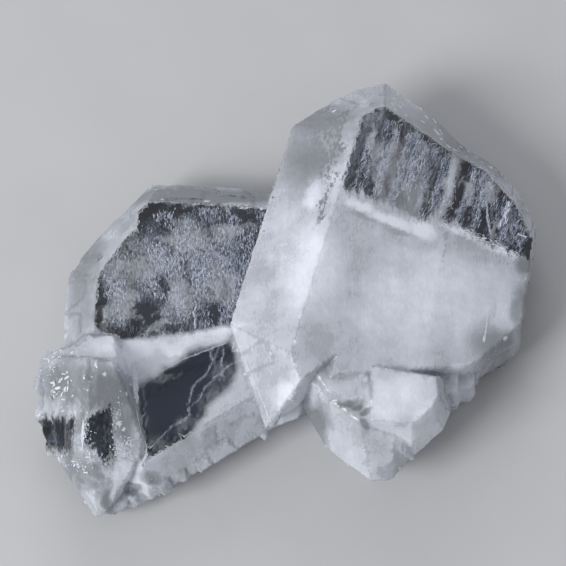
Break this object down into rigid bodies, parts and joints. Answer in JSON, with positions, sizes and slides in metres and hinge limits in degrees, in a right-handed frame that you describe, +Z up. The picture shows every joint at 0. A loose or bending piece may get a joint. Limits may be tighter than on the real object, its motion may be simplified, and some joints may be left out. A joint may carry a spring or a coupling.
{
  "type": "faden quartz cluster",
  "caption": "Clear to milky quartz cluster of flattened, intergrown crystals crossed by a white growth thread, lying flat on its own underside.",
  "frame": {"origin": "middle of the cluster's footprint box, on the surface it rests on", "axes": "+Z up from the resting face, +X along the cluster's longest side towards the larger plate, -Y towards the crystal tips"},
  "size_m": [0.0708, 0.0628, 0.0174],
  "materials": {
    "quartz": "natural crystal faces, clear to milky"
  },
  "bodies": {
    "root": {"faden_quartz_cluster": "quartz"}
  },
  "joints": []
}
